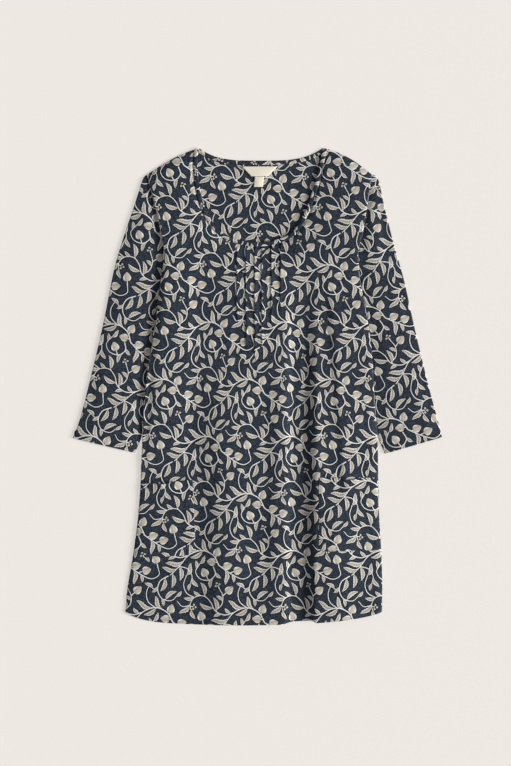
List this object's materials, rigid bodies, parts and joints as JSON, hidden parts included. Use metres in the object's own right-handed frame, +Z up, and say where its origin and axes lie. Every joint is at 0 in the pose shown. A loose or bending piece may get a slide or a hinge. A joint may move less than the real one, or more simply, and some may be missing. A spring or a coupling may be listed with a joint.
{
  "type": "tunic top",
  "caption": "Women's cotton tunic laid flat: scoop neck with narrow binding, stitched pintucks below it, three-quarter set-in sleeves, two patch pockets at the side seams and a gently curved hem.",
  "frame": {"origin": "middle of the garment's box, on the surface that it lies on", "axes": "+Z up out of the surface, +Y from the hem to the neck, +X to the right of someone looking down on the front"},
  "size_m": [0.627, 0.811, 0.0153],
  "materials": {
    "printed_cotton": "matt woven cotton, navy ground with a cream trailing leaf print",
    "printed_cotton_inside": "the same cotton seen from its inside",
    "label_tape": "cream woven label tape"
  },
  "bodies": {
    "root": {"back_panel": "printed_cotton_inside", "front_panel": "printed_cotton", "sleeve_left": "printed_cotton", "sleeve_right": "printed_cotton", "pocket_left": "printed_cotton", "pocket_right": "printed_cotton", "neck_binding_front": "printed_cotton", "neck_binding_back": "printed_cotton_inside", "neck_label": "label_tape", "size_tab": "label_tape"}
  },
  "joints": []
}
